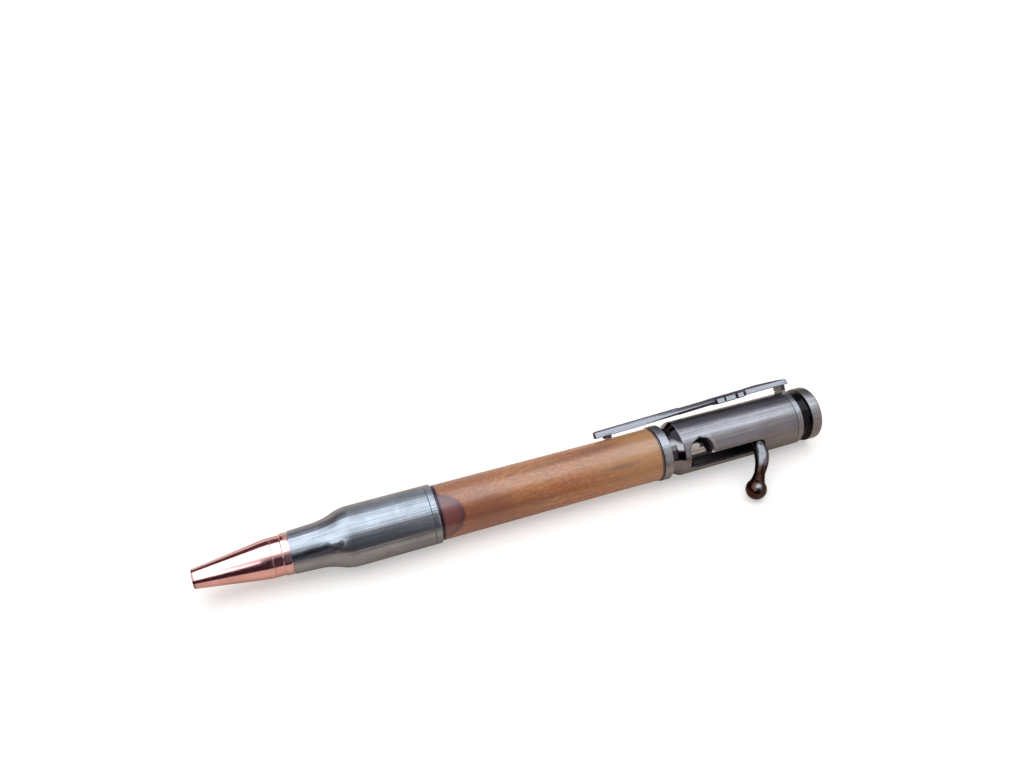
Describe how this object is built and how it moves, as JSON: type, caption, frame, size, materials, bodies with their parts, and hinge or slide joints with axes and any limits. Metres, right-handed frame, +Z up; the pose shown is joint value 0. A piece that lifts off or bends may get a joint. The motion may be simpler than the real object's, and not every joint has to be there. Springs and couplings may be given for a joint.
{
  "type": "bolt action pen",
  "caption": "Retractable ballpoint pen with a wooden barrel, cartridge-shaped nose, bolt housing with a J-slot, bent ball handle and rifle-outline clip.",
  "frame": {"origin": "centre of the bounding box at its lowest level, on the table the pen lies on", "axes": "+X along the pen from the writing point to the end cap, +Z up, the handle leans out toward -Y"},
  "size_m": [0.1432, 0.0248, 0.0145],
  "materials": {
    "nib_copper": "polished copper plate",
    "casing_pewter": "antique pewter plate, brushed lengthwise",
    "coupler_steel": "dark plate",
    "barrel_wood": "turned, sanded and satin lacquered",
    "tube_brass": "drawn, unpolished",
    "ring_pewter": "brushed plate",
    "housing_gunmetal": "gunmetal plate, brushed lengthwise, polished neck",
    "bolt_steel": "polished",
    "handle_gunmetal": "polished gunmetal plate",
    "knob_gunmetal": "satin gunmetal plate",
    "ball_carbide": "polished ball",
    "tip_metal": "turned",
    "nose_steel": "turned",
    "refill_steel": "drawn tube",
    "plug_plastic": "moulded",
    "spring_steel": "drawn wire",
    "clip_ring_gunmetal": "brushed plate",
    "clip_gunmetal": "cast, plated, brushed",
    "cap_pewter": "polished neck, brushed rim",
    "screw_steel": "threaded rod"
  },
  "bodies": {
    "barrel": {"front_coupler": "coupler_steel", "wood_barrel": "barrel_wood", "brass_tube": "tube_brass", "ring_coupler": "ring_pewter", "bolt_housing": "housing_gunmetal", "clip_ring": "clip_ring_gunmetal", "end_cap": "cap_pewter", "cap_screw": "screw_steel", "refill_spring": "spring_steel"},
    "tip": {"nib_tip": "nib_copper", "front_casing": "casing_pewter"},
    "bolt": {"bolt_body": "bolt_steel", "handle_arm": "handle_gunmetal", "handle_knob": "knob_gunmetal"},
    "refill": {"writing_ball": "ball_carbide", "refill_tip": "tip_metal", "refill_nose": "nose_steel", "refill_body": "refill_steel", "refill_end_plug": "plug_plastic"},
    "spring_clip": {"clip": "clip_gunmetal"}
  },
  "joints": [
    {"name": "bolt_slide", "type": "slide", "parent": "barrel", "child": "bolt", "axis": [-1, 0, 0], "range_m": [0, 0.0155], "stiffness_N_per_m": 120, "springref_m": -0.012, "deforming": ["refill_spring"]},
    {"name": "refill_slide", "type": "slide", "parent": "barrel", "child": "refill", "axis": [-1, 0, 0], "range_m": [0, 0.0155]},
    {"name": "clip_flex", "type": "hinge", "parent": "barrel", "child": "spring_clip", "pos_m": [0.06592, 0.00899, 0.01118], "axis": [0, 0.7193, -0.6947], "range_deg": [0, 3], "stiffness_Nm_per_rad": 0.25, "springref_deg": -2.86},
    {"name": "tip_draw_off", "type": "slide", "parent": "barrel", "child": "tip", "axis": [-1, 0, 0], "range_m": [0, 0.03]}
  ],
  "couplings": [
    {"joint": "refill_slide", "follows": "bolt_slide", "ratio": 1}
  ]
}
